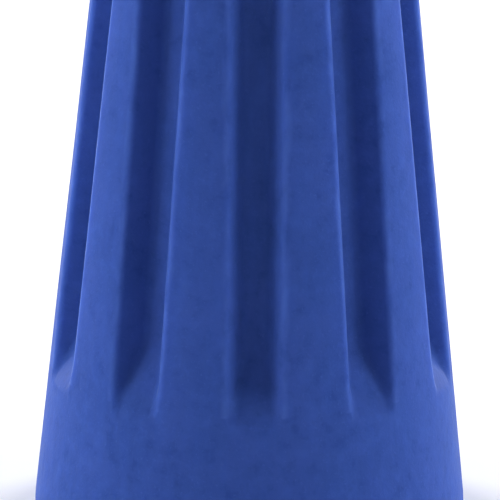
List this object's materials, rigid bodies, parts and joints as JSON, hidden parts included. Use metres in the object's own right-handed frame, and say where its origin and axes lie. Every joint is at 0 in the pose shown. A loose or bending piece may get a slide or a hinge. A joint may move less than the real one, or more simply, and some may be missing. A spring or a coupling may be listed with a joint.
{
  "type": "twist-on wire connector",
  "caption": "Tapered twist-on wire connector: fluted vinyl insulator with a deep skirt, steel shell and a floating conical square-wire spring.",
  "frame": {"origin": "centre of the mouth, in the plane of the skirt's rim", "axes": "+Z along the connector's axis, from the mouth to the closed tip; -Y through the middle of one flute"},
  "size_m": [0.024, 0.024, 0.043],
  "materials": {
    "blue_vinyl": "satin, waxy moulded vinyl",
    "shell_steel": "drawn sheet, bright zinc plate",
    "spring_wire": "drawn square wire, zinc plate"
  },
  "bodies": {
    "insulator": {"insulator": "blue_vinyl", "steel_shell": "shell_steel"},
    "spring": {"spring": "spring_wire"}
  },
  "joints": [
    {"name": "spring_float", "type": "slide", "parent": "insulator", "child": "spring", "axis": [0, 0, 1], "range_m": [0, 0.0004]}
  ]
}
